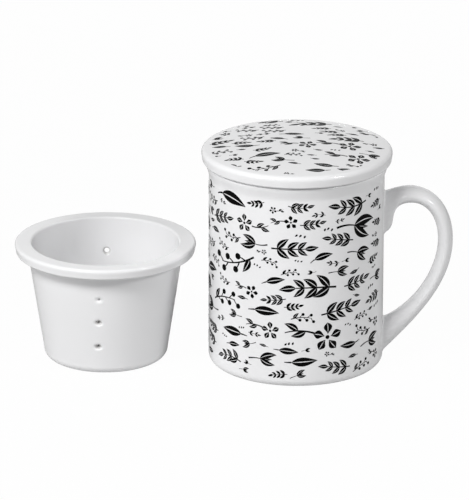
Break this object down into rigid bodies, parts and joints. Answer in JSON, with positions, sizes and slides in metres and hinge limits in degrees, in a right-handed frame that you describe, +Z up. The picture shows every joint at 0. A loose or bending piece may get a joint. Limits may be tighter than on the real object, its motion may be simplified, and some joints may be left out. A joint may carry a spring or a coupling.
{
  "type": "lidded tea mug with infuser",
  "caption": "Straight-sided porcelain tea mug with a looped handle, a loose domed lid seated on its flared rim, and a perforated flanged infuser standing beside it.",
  "frame": {"origin": "middle of the mug's foot ring, on the surface that the mug and the infuser stand on", "axes": "+Z up along the mug's axis; +X from the mug's axis towards the middle of its handle; the infuser stands on the -X side; +Y completes the right-handed frame"},
  "size_m": [0.2004, 0.0885, 0.1049],
  "materials": {
    "white_glaze": "glossy white porcelain glaze, pooled a little at edges and corners",
    "black_print": "fired black print under the gloss of the glaze",
    "bare_foot": "unglazed, smoothly ground porcelain on the rings that stand on the table"
  },
  "bodies": {
    "mug": {"mug_body": "white_glaze", "mug_handle": "white_glaze"},
    "lid": {"lid": "white_glaze"},
    "infuser": {"infuser": "white_glaze"}
  },
  "joints": [
    {"name": "lid_lift", "type": "slide", "parent": "mug", "child": "lid", "axis": [0, 0, 1], "range_m": [0, 0.06]},
    {"name": "infuser_lift", "type": "slide", "parent": "mug", "child": "infuser", "axis": [0, 0, 1], "range_m": [0, 0.11]}
  ]
}
